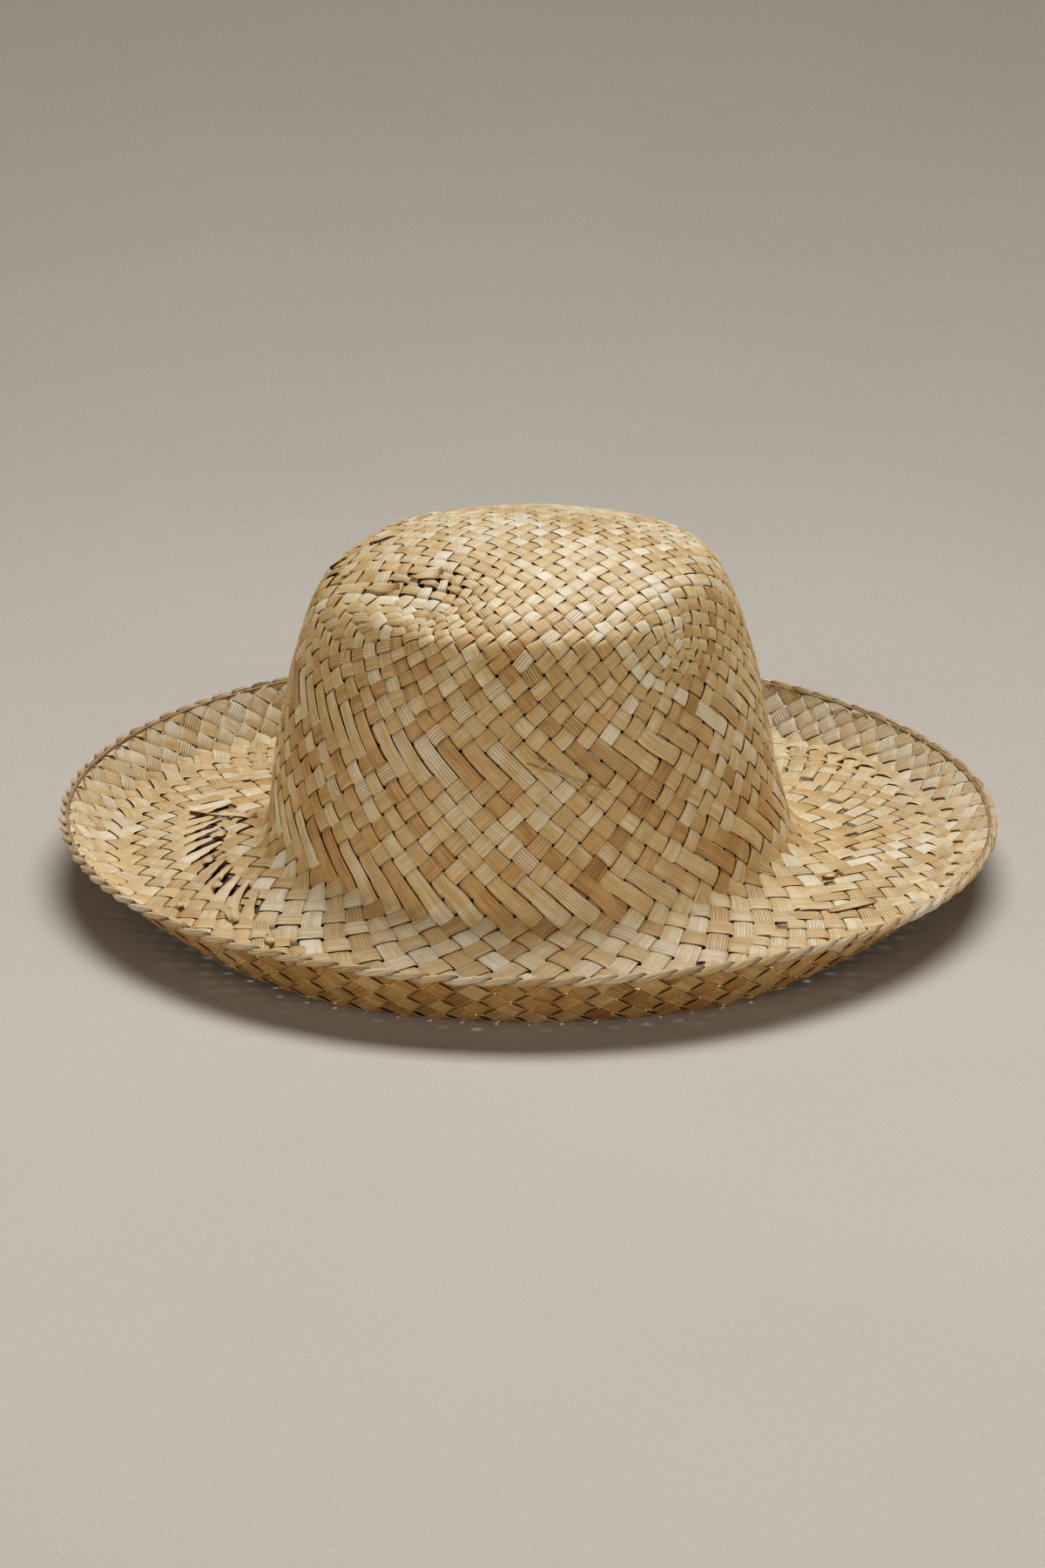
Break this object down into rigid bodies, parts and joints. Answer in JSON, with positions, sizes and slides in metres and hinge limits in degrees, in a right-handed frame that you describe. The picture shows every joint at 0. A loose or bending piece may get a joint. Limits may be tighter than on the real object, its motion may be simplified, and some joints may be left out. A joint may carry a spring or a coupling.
{
  "type": "palm straw hat",
  "caption": "Wide-brimmed hat plaited from palm straw strips, with a round flat-topped crown, a brim turned up at its rim and a twisted straw edge.",
  "frame": {"origin": "centre of the hat's bounding box, at the surface it stands on", "axes": "front of the hat towards -Y, right of the picture towards +X, top of the crown towards +Z"},
  "size_m": [0.3329, 0.3322, 0.1227],
  "materials": {
    "crown_straw": "satin",
    "brim_straw": "matte",
    "edge_straw": "matte"
  },
  "bodies": {
    "root": {"crown": "crown_straw", "brim": "brim_straw", "edge_braid": "edge_straw"}
  },
  "joints": []
}
